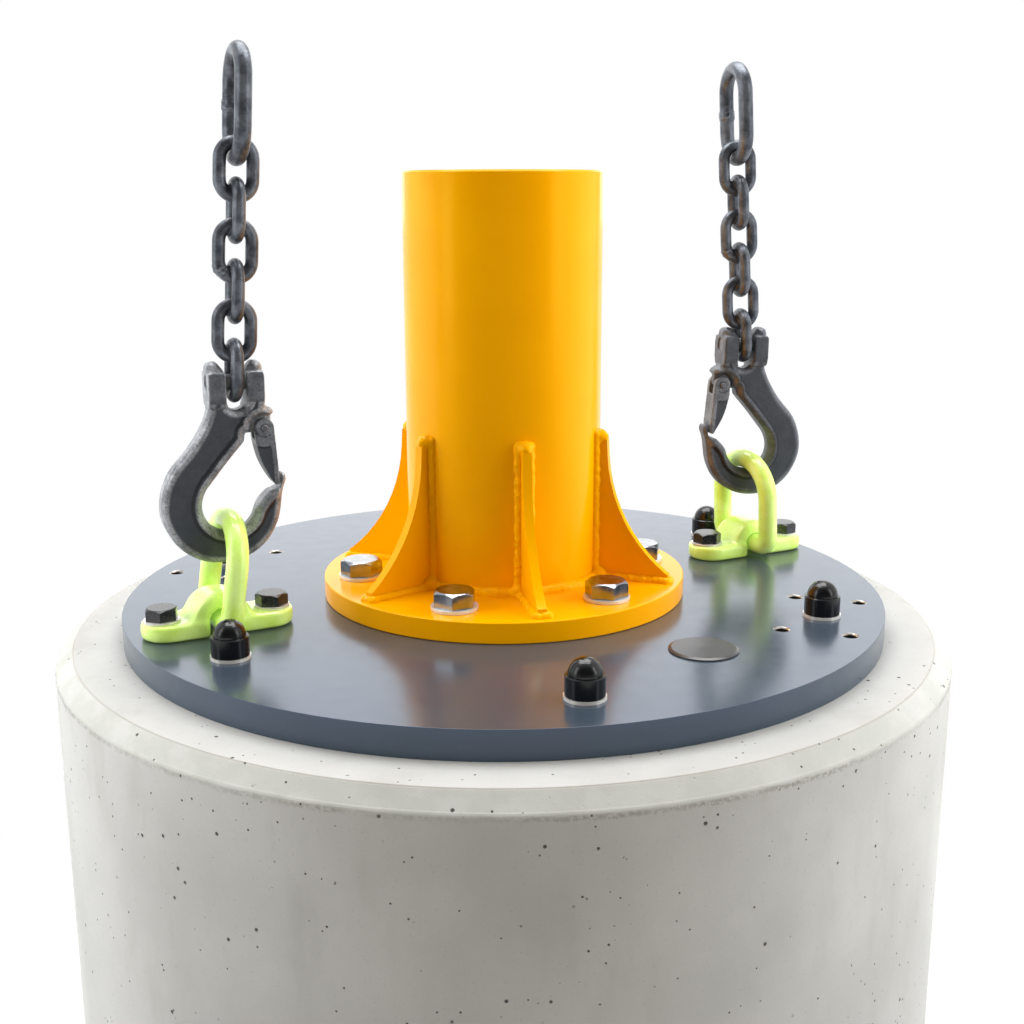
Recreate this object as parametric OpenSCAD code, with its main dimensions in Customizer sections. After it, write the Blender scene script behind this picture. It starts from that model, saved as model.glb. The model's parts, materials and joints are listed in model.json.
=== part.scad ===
// Movable base of a column-mounted slewing jib crane. A round concrete ballast block carries a
// steel ground plate; the mast foot is bolted to the plate through a flange with six gussets.
// Two bolted lifting points stand on the plate, each with a lifting ring, a latched hook and a
// chain leg that is held taut from above.
// Millimetres, +Z up. The origin is on the mast axis, at the underside of the block.

/* [Concrete block] */
// Diameter of the block
block_d = 1001; // [840:1:1210]
// Height of the block
block_h = 750; // [500:5:1000]
// Width of the sloping rim round the top
rim_w = 19; // [8:1:30]
// Drop of the sloping rim
rim_drop = 13; // [6:1:25]
// Chamfer round the foot of the block
foot_chamfer = 12; // [2:1:25]

/* [Ground plate] */
// Distance from the edge of the block to the edge of the plate
plate_inset = 71.5; // [40:0.5:90]
// Thickness of the plate
plate_t = 30; // [20:1:45]

/* [Anchors] */
// Distance from the edge of the plate to the anchors
anchor_inset = 66.5; // [40:0.5:80]
// Diameter of the anchor studs
anchor_d = 20; // [16:1:24]
// Depth of the anchor studs in the concrete
anchor_depth = 160; // [100:5:250]
// Diameter of the protective caps
cap_d = 38; // [38:0.5:46]
// Height of the straight part of the caps
cap_h = 20; // [17:0.5:24]
// Thickness of the anchor washers
anchor_washer_t = 3; // [2:0.5:5]

/* [Spare holes and plug] */
// Spacing of each group of four tapped holes, along the radius
spare_x = 70; // [50:1:90]
// Spacing of each group of four tapped holes, across the radius
spare_y = 122; // [90:1:150]
// Diameter of the tapped holes
spare_d = 14; // [10:0.5:18]
// Diameter of the plug over the cable hole
plug_d = 71; // [55:1:90]
// Distance from the edge of the plate to the plug
plug_inset = 128; // [100:1:150]
// Direction of the plug from the mast
plug_angle = -30; // [-32:1:-28]

/* [Mast foot] */
// Outer diameter of the mast tube
mast_d = 219.1; // [180:0.1:265]
// Wall of the mast tube
mast_wall = 8; // [6:0.5:12]
// Height of the mast top above the plate
mast_top = 470; // [390:1:600]
// Width of the flange outside the tube
flange_ledge = 97; // [85:0.5:110]
// Thickness of the flange
flange_t = 23; // [16:1:30]
// Diameter of the flange bolts
flange_bolt_d = 27; // [20:1:30]
// Distance from the edge of the flange to the bolts
flange_bolt_inset = 41.5; // [35:0.5:50]

/* [Gussets] */
// Height of the gussets above the flange
gusset_h = 164; // [130:1:200]
// Width of the gussets at the top
gusset_top_w = 13.5; // [8:0.5:20]
// Reach of the gussets from the tube
gusset_reach = 84; // [60:1:90]
// Thickness of the gussets
gusset_t = 10; // [6:1:14]
// Radius of the hollow edge
gusset_arc_r = 175; // [150:5:500]

/* [Lifting points] */
// Distance from the edge of the plate to the middle of the left lifting point
left_lift_inset = 92; // [88:0.5:100]
// Distance from the edge of the plate to the middle of the right lifting point
right_lift_inset = 85.5; // [85:0.5:100]
// Direction of the right lifting point from the mast
lift_angle = 45; // [40:1:50]
// Distance between the two bolts of a bracket
lift_bolts = 117; // [114:1:136]
// Distance of the bolts from the middle of their round feet
foot_shift = 6.5; // [0:0.5:12]
// Diameter of the bracket bolts
lift_bolt_d = 20; // [16:1:20]
// Radius of the feet
foot_r = 28.5; // [26:0.5:30]
// Thickness of the feet under the washers
foot_t = 17; // [12:0.5:20]
// Width of the saddle
saddle_w = 48; // [40:1:52]
// Outer radius of the saddle
saddle_r = 31.5; // [30:0.5:36]
// Radius of the tunnel under the saddle
tunnel_r = 14.5; // [13.5:0.5:17]
// Height of the tunnel's centre above the plate
tunnel_z = 14; // [12:0.5:16]

/* [Lifting rings] */
// Diameter of the ring's rod
ring_rod_d = 23; // [18:0.5:23.5]
// Width of the ring between the centres of its legs
ring_w = 94; // [78:1:113]
// Height of the ring between the centres of its foot and its crown
ring_h = 105.5; // [88:0.5:127]
// Radius of the ring's lower corners
ring_corner_r = 14; // [12:0.5:15]
// Lean of the left ring towards the mast
left_ring_lean = 8.7; // [3:0.1:10]
// Lean of the right ring towards the mast
right_ring_lean = 2.8; // [0:0.1:5]
// Place of the left ring's foot in its tunnel, towards the mast
left_bar_t = 1; // [0:0.5:2]
// Place of the right ring's foot in its tunnel, towards the mast
right_bar_t = 0; // [-1:0.5:1]
// Rise of the left ring's foot above the tunnel's centre
left_bar_rise = 0; // [0:0.5:2]
// Rise of the right ring's foot above the tunnel's centre
right_bar_rise = 2.5; // [0:0.5:2.5]

/* [Hooks and chain] */
// Thickness of the hook's body
hook_t = 30; // [20:1:34]
// Thickness of the hook's two ears
ear_t = 36; // [34:1:42]
// Width of the slot between the ears
slot_w = 21; // [17:0.5:22]
// Diameter of the clevis pin
clevis_pin_d = 16; // [13:0.5:17]
// Diameter of the latch pin
latch_pin_d = 7; // [5:0.5:8]
// Width of the latch
latch_w = 26; // [22:1:28]
// Turn of the left hook about its own upright line
left_yaw = -4; // [-16:1:4]
// Turn of the right hook about its own upright line
right_yaw = -14; // [-16:1:4]
// Lean of the right hook away from the mast
right_hook_lean = 1; // [0:0.5:4]
// Diameter of the chain's wire
chain_d = 13.2; // [11:0.1:13.5]
// Inner length of a chain link
chain_pitch = 40; // [38:0.5:48]
// Outer width of a chain link
chain_w = 46.5; // [44:0.5:50]
// Number of links in each leg
chain_links = 6; // [4:1:8]
// Lean of the left chain leg towards the mast
left_chain_lean = 3.5; // [0:0.1:5]
// Lean of the right chain leg towards the mast
right_chain_lean = 4.6; // [0:0.1:8]
// Rod diameter of the end link
end_rod_d = 17; // [14:0.5:18]
// Inner length of the end link
end_l = 85; // [70:1:110]
// Inner width of the end link
end_w = 42; // [36:1:50]

/* [Clearances] */
// Gap round a bolt in a clearance hole, on the radius
bolt_gap = 1; // [0.5:0.1:2]
// Gap round a tapped or cast-in rod, on the radius
snug_gap = 0.1; // [0.05:0.05:0.3]
// Gap round a pin that something turns on, on the radius
pin_gap = 0.1; // [0.05:0.05:0.1]
// Gap between a hook's seat and the ring
seat_gap = 0.6; // [0.4:0.1:1.2]
// Gap between chain links, and between a chain and its clevis pin
link_gap = 0.3; // [0.2:0.1:0.6]
// Gap beside the latch
latch_gap = 1; // [0.5:0.1:2]

/* [Hidden] */
$fn = 72;
eps = 0.5;
plate_top = block_h + plate_t;
plate_r = block_d / 2 - plate_inset;
anchor_r = plate_r - anchor_inset;
plug_r = plate_r - plug_inset;
function lift_r(side) = plate_r - (side == "left" ? left_lift_inset : right_lift_inset);
flange_top = plate_top + flange_t;
flange_r = mast_d / 2 + flange_ledge;
flange_bolt_r = flange_r - flange_bolt_inset;
mast_bore_r = mast_d / 2 - mast_wall;
six = [0 : 5];
sixth = 60;

// Hexagon heads: width across the flats and height, by bolt diameter
function across_flats(d) = 1.52 * d;
function head_h(d) = 0.63 * d;
washer_t = 3;
anchor_af = across_flats(anchor_d);
anchor_nut_h = 0.8 * anchor_d;
cap_wall = 1.5;
cap_shoulder = 2.7;
anchor_washer_r = cap_d / 2 + 1.25;
flange_washer_r = 0.93 * flange_bolt_d;
flange_washer_t = 4;
flange_head_turn = [8, 41, 22, 52, 15, 33];
lift_washer_r = 0.94 * lift_bolt_d;
lift_head_turn = [12, 37];
spare_sink_r = spare_d / 2 + 1.75;
plug_hole_r = plug_d / 2 - 6;
plug_t = 3.2;

// Ring: its foot lies in the tunnel, its crown carries the hook
ring_rod_r = ring_rod_d / 2;
function ring_lean(side) = side == "left" ? left_ring_lean : right_ring_lean;
function bar_t(side) = side == "left" ? left_bar_t : right_bar_t;
function bar_z(side) = tunnel_z + (side == "left" ? left_bar_rise : right_bar_rise);
function crown_t(side) = bar_t(side) + ring_h * sin(ring_lean(side));
function crown_z(side) = bar_z(side) + ring_h * cos(ring_lean(side));

// Hook: its points are measured from a spot just above the lowest point of its bowl
bowl_r = 27.5;
bowl_drop = 2.5;
bowl_z = bowl_r - bowl_drop;
bowl_bevel_w = 10;
bowl_bevel = 6.5;
seat_flat = hook_t / 2 - bowl_bevel_w;
crown_r = ring_w / 2 - ring_rod_r;
crown_sag = crown_r - sqrt(pow(crown_r, 2) - pow(seat_flat, 2));
seat_drop = ring_rod_r + seat_gap + crown_sag - bowl_drop;
slot_t = 11.7;
ear_w = 18;
ear_round = 8;
ear_fall = 10;
slot_floor = 124;
clevis_z = 152;
latch_t = 39;
latch_z = 104;
lug_t = 10;
lug_r = 8.5;
recess_r = 14.2;

// Chain: every link hangs in the one before it
link_r = (chain_w - chain_d) / 2;
link_straight = chain_pitch + chain_d - 2 * link_r;
link_step = chain_pitch - link_gap;
link_drop = clevis_pin_d / 2 + chain_d / 2 + link_gap;
leg_t = 12.4;
end_r = (end_w + end_rod_d) / 2;
end_straight = end_l + end_rod_d - 2 * end_r;

sides = ["left", "right"];

// Points of an arc about c, from angle a0 to a1
function arc(c, r, a0, a1, n) = [for (i = [0 : n]) c + r * [cos(a0 + (a1 - a0) * i / n), sin(a0 + (a1 - a0) * i / n)]];

// Points of the shorter arc of radius r from a to b, hollow side on the right
function arc_between(a, b, r, n) = let (
    chord = b - a,
    across = [chord[1], -chord[0]] / norm(chord),
    centre = (a + b) / 2 + across * sqrt(r * r - pow(norm(chord) / 2, 2)),
    a0 = atan2(a[1] - centre[1], a[0] - centre[0]),
    a1 = atan2(b[1] - centre[1], b[0] - centre[0]))
    arc(centre, r, a0, a1, n);

// A smooth curve through the points p, with n steps between two of them
function bend(p0, p1, p2, p3, t) = 0.5 * (2 * p1 + (p2 - p0) * t + (2 * p0 - 5 * p1 + 4 * p2 - p3) * t * t
    + (3 * p1 - p0 - 3 * p2 + p3) * t * t * t);
function smooth(p, n) = let (last = len(p) - 1) concat(
    [for (i = [0 : last - 1]) for (k = [0 : n - 1])
        bend(p[max(i - 1, 0)], p[i], p[i + 1], p[min(i + 2, last)], k / n)],
    [p[last]]);

module ring_of_six(r, start = 0) {
    for (i = six) rotate([0, 0, start + sixth * i]) translate([r, 0, 0]) children();
}

// Hexagon head with turned-down corners, standing on z = 0
module hex_head(af, h) {
    intersection() {
        cylinder(h = h, d = af / cos(30), $fn = 6);
        union() {
            cylinder(h = h - 0.08 * af, r = af);
            translate([0, 0, h - 0.08 * af]) cylinder(h = 0.08 * af, r1 = af / cos(30) / 2, r2 = 0.47 * af);
        }
    }
}

// Bolt with its washer face on z = 0 and its shank pointing down
module hex_bolt(d, shank) {
    hex_head(across_flats(d), head_h(d));
    translate([0, 0, -shank]) cylinder(h = shank + eps, d = d);
}

module washer(r, bore_r, t) {
    difference() {
        cylinder(h = t, r = r);
        translate([0, 0, -eps]) cylinder(h = t + 2 * eps, r = bore_r);
    }
}

// Rod bent into a long round-ended link: middle at the origin, standing in XZ
module link(rod_d, r, straight) {
    for (s = [-1, 1]) {
        translate([s * r, 0, -straight / 2]) cylinder(h = straight, d = rod_d);
        translate([0, 0, s * straight / 2]) rotate([90, 0, 0]) rotate([0, 0, s > 0 ? 0 : 180])
            rotate_extrude(angle = 180) translate([r, 0]) circle(d = rod_d);
    }
}

module concrete_block() {
    color("lightgray") difference() {
        rotate_extrude() polygon(concat(
            [[0, 0], [block_d / 2 - foot_chamfer, 0], [block_d / 2, foot_chamfer]],
            arc([block_d / 2 - rim_drop / 2, block_h - rim_drop - rim_drop / 2], rim_drop / 2, 0, 62, 4),
            [[block_d / 2 - rim_w, block_h], [0, block_h]]));
        ring_of_six(anchor_r) translate([0, 0, block_h - anchor_depth])
            cylinder(h = anchor_depth + eps, r = anchor_d / 2 + snug_gap);
    }
}

module spare_holes() {
    for (side = [0, 180]) rotate([0, 0, side]) translate([anchor_r, 0, 0])
        for (x = [-0.5, 0.5]) for (y = [-0.5, 0.5]) translate([x * spare_x, y * spare_y, 0]) {
            translate([0, 0, block_h - eps]) cylinder(h = plate_t + 2 * eps, d = spare_d);
            translate([0, 0, plate_top - (spare_sink_r - spare_d / 2)])
                cylinder(h = spare_sink_r - spare_d / 2 + eps, r1 = spare_d / 2, r2 = spare_sink_r + eps);
        }
}

module ground_plate() {
    color("#4b5a66") difference() {
        translate([0, 0, block_h]) cylinder(h = plate_t, r = plate_r);
        translate([0, 0, block_h - eps]) {
            ring_of_six(anchor_r) cylinder(h = plate_t + 2 * eps, r = anchor_d / 2 + bolt_gap);
            ring_of_six(flange_bolt_r, sixth / 2)
                cylinder(h = plate_t + 2 * eps, r = flange_bolt_d / 2 + snug_gap);
            rotate([0, 0, plug_angle]) translate([plug_r, 0, 0]) cylinder(h = plate_t + 2 * eps, r = plug_hole_r);
        }
        for (s = sides) at_lift(s) for (t = [-0.5, 0.5]) translate([t * lift_bolts, 0, -plate_t - eps])
            cylinder(h = plate_t + 2 * eps, r = lift_bolt_d / 2 + snug_gap);
        spare_holes();
    }
}

module hole_plug() {
    color("#202124") rotate([0, 0, plug_angle]) translate([plug_r, 0, plate_top]) {
        rotate_extrude() polygon([[0, 0], [plug_d / 2, 0], [plug_d / 2, 0.4 * plug_t],
            [plug_d / 2 - 3, 0.8 * plug_t], [0, plug_t]]);
        translate([0, 0, -plate_t / 2]) cylinder(h = plate_t / 2 + eps, r = plug_hole_r - snug_gap);
    }
}

module anchor_studs() {
    color("silver") ring_of_six(anchor_r) {
        translate([0, 0, block_h - anchor_depth])
            cylinder(h = anchor_depth + plate_t + anchor_washer_t + anchor_nut_h + 4, d = anchor_d);
        translate([0, 0, plate_top + anchor_washer_t]) hex_head(anchor_af, anchor_nut_h);
    }
}

module anchor_washers() {
    color("silver") ring_of_six(anchor_r) translate([0, 0, plate_top])
        washer(anchor_washer_r, anchor_d / 2 + bolt_gap, anchor_washer_t);
}

module anchor_cap(i) {
    inner_r = cap_d / 2 - cap_wall;
    dome_r = cap_d / 2 - cap_shoulder;
    color("#17181a") rotate([0, 0, sixth * i]) translate([anchor_r, 0, plate_top + anchor_washer_t])
        rotate_extrude() polygon(concat(
            [[inner_r, 0], [cap_d / 2, 0], [cap_d / 2, cap_h - 1], [cap_d / 2 - 1, cap_h]],
            arc([0, cap_h], dome_r, 0, 90, 12),
            arc([0, cap_h], dome_r - cap_wall, 90, 0, 12),
            [[inner_r, cap_h - cap_wall]]));
}

module mast_flange() {
    color("#f5a300") translate([0, 0, plate_top]) difference() {
        cylinder(h = flange_t, r = flange_r);
        translate([0, 0, -eps]) cylinder(h = flange_t + 2 * eps, r = mast_bore_r);
        ring_of_six(flange_bolt_r, sixth / 2) translate([0, 0, -eps])
            cylinder(h = flange_t + 2 * eps, r = flange_bolt_d / 2 + 1.5 * bolt_gap);
    }
}

module mast_tube() {
    tube_bevel = 2;
    color("#f5a300") translate([0, 0, flange_top]) rotate_extrude() polygon([
        [mast_bore_r, 0], [mast_d / 2, 0], [mast_d / 2, mast_top - flange_t - tube_bevel],
        [mast_d / 2 - tube_bevel, mast_top - flange_t], [mast_bore_r, mast_top - flange_t]]);
}

// One gusset: slanted top, short upright edge, hollow curve and a low toe
module gusset(i) {
    slant = 6;
    lip = 19;
    toe = [gusset_reach - 2.5, 10];
    color("#f5a300") rotate([0, 0, sixth * i]) difference() {
        translate([mast_d / 2, gusset_t / 2, flange_top]) rotate([90, 0, 0]) linear_extrude(gusset_t) polygon(concat(
            [[-mast_wall / 2, 0], [gusset_reach, 0], [gusset_reach, toe[1] - 1]],
            arc_between(toe, [gusset_top_w, gusset_h - slant - lip], gusset_arc_r, 10),
            [[gusset_top_w - 1, gusset_h - slant], [0, gusset_h], [-mast_wall / 2, gusset_h]]));
        translate([0, 0, flange_top - eps]) cylinder(h = gusset_h + 2 * eps, d = mast_d);
    }
}

module flange_washers() {
    color("gainsboro") ring_of_six(flange_bolt_r, sixth / 2) translate([0, 0, flange_top])
        washer(flange_washer_r, flange_bolt_d / 2 + bolt_gap / 2, flange_washer_t);
}

module flange_bolt(i) {
    color("gainsboro") rotate([0, 0, sixth / 2 + sixth * i])
        translate([flange_bolt_r, 0, flange_top + flange_washer_t]) rotate([0, 0, flange_head_turn[i]])
            hex_bolt(flange_bolt_d, flange_washer_t + flange_t + plate_t - 2);
}

// Frame of a lifting point: on the plate, +X towards the mast
module at_lift(side) {
    rotate([0, 0, side == "left" ? lift_angle + 180 : lift_angle])
        translate([lift_r(side), 0, plate_top]) rotate([0, 0, 180]) children();
}

module lifting_bracket(side) {
    flank = 10;
    shoulder = 9;
    spot_depth = 1.5;
    foot_top = foot_t + spot_depth;
    saddle_top = tunnel_z + saddle_r;
    foot_c = lift_bolts / 2 - foot_shift;
    foot_meet = sqrt(pow(saddle_r + flank, 2) - pow(foot_top + flank - tunnel_z, 2));
    flank_a = atan2(foot_top + flank - tunnel_z, foot_meet);
    color("#b8e02a") at_lift(side) difference() {
        union() {
            linear_extrude(foot_top) {
                for (s = [-1, 1]) translate([s * foot_c, 0]) circle(r = foot_r);
                square([2 * foot_c, 2 * foot_r], center = true);
                square([2 * saddle_r, saddle_w], center = true);
            }
            intersection() {
                translate([0, saddle_w / 2, 0]) rotate([90, 0, 0]) linear_extrude(saddle_w) polygon(concat(
                    [[-foot_meet, 0], [foot_meet, 0], [foot_meet, foot_top]],
                    arc([foot_meet, foot_top + flank], flank, -90, flank_a - 180, 5),
                    arc([0, tunnel_z], saddle_r, flank_a, 180 - flank_a, 16),
                    arc([-foot_meet, foot_top + flank], flank, -flank_a, -90, 5),
                    [[-foot_meet, foot_top]]));
                translate([-foot_meet - eps, 0, 0]) rotate([90, 0, 90]) linear_extrude(2 * foot_meet + 2 * eps)
                    polygon(concat([[-saddle_w / 2, 0], [saddle_w / 2, 0]],
                        arc([saddle_w / 2 - shoulder, saddle_top - shoulder], shoulder, 0, 90, 6),
                        arc([shoulder - saddle_w / 2, saddle_top - shoulder], shoulder, 90, 180, 6)));
            }
        }
        translate([0, 0, tunnel_z]) rotate([90, 0, 0]) cylinder(h = 3 * saddle_w, r = tunnel_r, center = true);
        translate([-tunnel_r, -1.5 * saddle_w, -eps]) cube([2 * tunnel_r, 3 * saddle_w, tunnel_z + eps]);
        for (t = [-0.5, 0.5]) translate([t * lift_bolts, 0, 0]) {
            translate([0, 0, -eps]) cylinder(h = foot_t + 2 * eps, r = lift_bolt_d / 2 + bolt_gap);
            translate([0, 0, foot_t]) cylinder(h = saddle_r, r = lift_washer_r + 3);
        }
    }
}

module bracket_washers(side) {
    color("gainsboro") at_lift(side) for (t = [-0.5, 0.5]) translate([t * lift_bolts, 0, foot_t])
        washer(lift_washer_r, lift_bolt_d / 2 + bolt_gap / 2, washer_t);
}

module bracket_bolts(side) {
    color("#1c1d1f") at_lift(side) for (k = [0, 1]) translate([(k - 0.5) * lift_bolts, 0, foot_t + washer_t])
        rotate([0, 0, lift_head_turn[k]]) hex_bolt(lift_bolt_d, washer_t + foot_t + plate_t - 2);
}

// A D-shaped ring: straight foot under the saddle, round lower corners, round crown
module lifting_ring(side) {
    half = ring_w / 2;
    leg = ring_h - half - ring_corner_r;
    bar = ring_w - 2 * ring_corner_r;
    color("#b8e02a") at_lift(side) translate([bar_t(side), 0, bar_z(side)]) rotate([0, ring_lean(side), 0]) rotate([0, 0, 90]) {
        translate([-bar / 2, 0, 0]) rotate([0, 90, 0]) cylinder(h = bar, r = ring_rod_r);
        for (s = [-1, 1]) {
            translate([s * bar / 2, 0, ring_corner_r]) rotate([90, 0, 0]) rotate([0, 0, s > 0 ? -90 : 180])
                rotate_extrude(angle = 90) translate([ring_corner_r, 0]) circle(r = ring_rod_r);
            translate([s * half, 0, ring_corner_r]) cylinder(h = leg, r = ring_rod_r);
        }
        translate([0, 0, ring_corner_r + leg]) rotate([90, 0, 0])
            rotate_extrude(angle = 180) translate([half, 0]) circle(r = ring_rod_r);
    }
}

// Frame of a hook: near the lowest point of its bowl, +X towards the mast, the hook in XZ
module at_hook(side) {
    at_lift(side) translate([crown_t(side), 0, crown_z(side)])
        rotate([0, side == "right" ? -right_hook_lean : 0, side == "right" ? right_yaw : left_yaw])
            translate([0, 0, -seat_drop]) children();
}

module upright(width) {
    translate([0, width / 2, 0]) rotate([90, 0, 0]) linear_extrude(width) children();
}

ear_lo = slot_t - slot_w / 2 - ear_w;
ear_hi = slot_t + slot_w / 2 + ear_w;
ear_top = clevis_z + 22;

// Outside of the hook, from the neck round the bowl to the tip
hook_outside = smooth([[ear_lo, 124], [-23.5, 108], [-38, 86], [-58, 63], [-68, 38], [-68, 13], [-55, -13],
    [-33, -30], [-8, -35], [17, -30.5], [38, -16], [51, 7], [56, 35], [60.5, 48]], 4);
// Tip: an outer horn and a lower shelf that the latch closes on
hook_tip = [[59.5, 54], [56, 54.5], [53, 41], [46, 37.5]];
// Inside of the hook, from the tip through the bowl up to the latch's recess
hook_inside = concat(smooth([[43, 37.5], [33.5, 28.5], [24.5, 15.6]], 3), arc([0, bowl_z], bowl_r - 2, -25, -195, 20),
    smooth([[-26.1, 34], [-22, 44], [-12.5, 56], [0, 71], [18.5, 91.5]], 3));
// Recess round the latch's boss, and the nose above it
hook_recess = concat([[20, 101]], arc([latch_t, latch_z], recess_r, 185, 100, 6), [[48, 117], [50.5, 120], [47.5, 124]]);

module hook(side) {
    color("#3c4046") at_hook(side) difference() {
        union() {
            upright(hook_t) polygon(concat(hook_outside, hook_tip, hook_inside, hook_recess,
                [[ear_hi, 128], [ear_hi, 135], [ear_lo, 135]]));
            upright(lug_t) polygon([[16, 99], [latch_t - 6, 99], [latch_t, latch_z - lug_r],
                [latch_t + lug_r, latch_z], [latch_t + lug_r, 118], [16, 118]]);
            intersection() {
                upright(ear_t) polygon(concat([[ear_lo, 124], [ear_hi, 124]],
                    arc([ear_hi - ear_round, ear_top - ear_round], ear_round, 0, 110, 8),
                    [[slot_t + slot_w / 2, ear_top - ear_fall], [slot_t - slot_w / 2, ear_top - ear_fall]],
                    arc([ear_lo + ear_round, ear_top - ear_round], ear_round, 70, 180, 8)));
                translate([ear_lo - eps, 0, 0]) rotate([90, 0, 90]) linear_extrude(ear_hi - ear_lo + 2 * eps)
                    polygon(concat([[-hook_t / 2, 124], [hook_t / 2, 124], [ear_t / 2, 131]],
                        arc([0, ear_top - ear_t / 2], ear_t / 2, 0, 180, 16), [[-ear_t / 2, 131]]));
            }
        }
        translate([0, 0, bowl_z]) rotate([90, 0, 0]) rotate_extrude() polygon([
            [0, -hook_t / 2 - eps], [bowl_r + bowl_bevel, -hook_t / 2 - eps], [bowl_r + bowl_bevel, -hook_t / 2],
            [bowl_r, -seat_flat], [bowl_r, seat_flat],
            [bowl_r + bowl_bevel, hook_t / 2], [bowl_r + bowl_bevel, hook_t / 2 + eps], [0, hook_t / 2 + eps]]);
        upright(2 * ear_t) {
            translate([slot_t, slot_floor + slot_w / 2]) circle(d = slot_w);
            translate([slot_t - slot_w / 2, slot_floor + slot_w / 2]) square([slot_w, ear_top]);
        }
        translate([ear_lo - eps, 0, clevis_z]) rotate([0, 90, 0])
            cylinder(h = ear_hi - ear_lo + 2 * eps, r = clevis_pin_d / 2 + snug_gap);
        translate([latch_t, 0, latch_z]) rotate([90, 0, 0])
            cylinder(h = 2 * hook_t, r = latch_pin_d / 2 + snug_gap, center = true);
    }
}

module hook_pins(side) {
    pin_recess = 2;
    color("silver") at_hook(side) {
        translate([ear_lo + pin_recess, 0, clevis_z]) rotate([0, 90, 0])
            cylinder(h = ear_hi - ear_lo - 2 * pin_recess, d = clevis_pin_d);
        translate([latch_t, 0, latch_z]) rotate([90, 0, 0])
            cylinder(h = latch_w + 2, d = latch_pin_d, center = true);
    }
}

// Latch: a boss on the pin, forked round the hook's lug, tapering down to the horn
module latch(side) {
    boss_r = 10;
    fork_r = recess_r + eps;
    color("#4a4e55") at_hook(side) difference() {
        upright(latch_w) polygon(concat(
            arc([latch_t, latch_z], boss_r, 180, 0, 12),
            [[52, 60], [52.6, 44.5], [48.5, 43.5]],
            smooth([[46, 47], [41, 55], [34.5, 69], [30.5, 85], [29.2, 97]], 3)));
        upright(lug_t + 2 * latch_gap) {
            translate([latch_t, latch_z]) circle(r = fork_r);
            translate([latch_t - fork_r, latch_z]) square(2 * fork_r);
        }
        translate([latch_t, 0, latch_z]) rotate([90, 0, 0])
            cylinder(h = 2 * latch_w, r = latch_pin_d / 2 + pin_gap, center = true);
    }
}

// Frame of a chain leg: on the clevis pin, +Z up the leg
module at_leg(side) {
    at_hook(side) translate([leg_t, 0, clevis_z])
        rotate([0, side == "left" ? left_chain_lean : right_chain_lean, 0]) children();
}

module chain(side) {
    first = -link_drop + link_r + link_straight / 2;
    color("#3a3d42") at_leg(side) for (i = [0 : chain_links - 1])
        translate([0, 0, first + i * link_step]) rotate([0, 0, i % 2 == 0 ? 90 : 0])
            link(chain_d, link_r, link_straight);
}

module end_link(side) {
    chain_end = -link_drop + (chain_links - 1) * link_step + 2 * link_r + link_straight;
    low = chain_end - chain_d / 2 - end_rod_d / 2 - link_gap;
    color("#3a3d42") at_leg(side) translate([0, 0, low + end_r + end_straight / 2])
        rotate([0, 0, chain_links % 2 == 0 ? 90 : 0]) link(end_rod_d, end_r, end_straight);
}

concrete_block();
ground_plate();
hole_plug();
anchor_studs();
anchor_washers();
anchor_cap(0);  // anchor_cap_1
anchor_cap(1);  // anchor_cap_2
anchor_cap(2);  // anchor_cap_3
anchor_cap(3);  // anchor_cap_4
anchor_cap(4);  // anchor_cap_5
anchor_cap(5);  // anchor_cap_6
mast_flange();
mast_tube();
gusset(0);  // gusset_1
gusset(1);  // gusset_2
gusset(2);  // gusset_3
gusset(3);  // gusset_4
gusset(4);  // gusset_5
gusset(5);  // gusset_6
flange_washers();
flange_bolt(0);  // flange_bolt_1
flange_bolt(1);  // flange_bolt_2
flange_bolt(2);  // flange_bolt_3
flange_bolt(3);  // flange_bolt_4
flange_bolt(4);  // flange_bolt_5
flange_bolt(5);  // flange_bolt_6
lifting_bracket("left");  // left_lifting_bracket
bracket_washers("left");  // left_bracket_washers
bracket_bolts("left");  // left_bracket_bolts
lifting_ring("left");  // left_lifting_ring
hook("left");  // left_hook
hook_pins("left");  // left_hook_pins
latch("left");  // left_latch
chain("left");  // left_chain
end_link("left");  // left_end_link
lifting_bracket("right");  // right_lifting_bracket
bracket_washers("right");  // right_bracket_washers
bracket_bolts("right");  // right_bracket_bolts
lifting_ring("right");  // right_lifting_ring
hook("right");  // right_hook
hook_pins("right");  // right_hook_pins
latch("right");  // right_latch
chain("right");  // right_chain
end_link("right");  // right_end_link
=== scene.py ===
"""Looks of the base of a column jib crane.

A round ballast block carries a ground plate, a welded mast foot and two lifting points. A forged hook
hangs in the ring of each lifting point on a taut chain. Sizes are in metres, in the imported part's frame.
"""

from __future__ import annotations

import json
import logging
import math
import random
from dataclasses import dataclass, field
from enum import Enum
from functools import cached_property
from typing import Iterator, Mapping, Optional, Sequence, Union

import bmesh
import bpy
from mathutils import Matrix, Vector, noise
from mathutils.kdtree import KDTree

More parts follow.
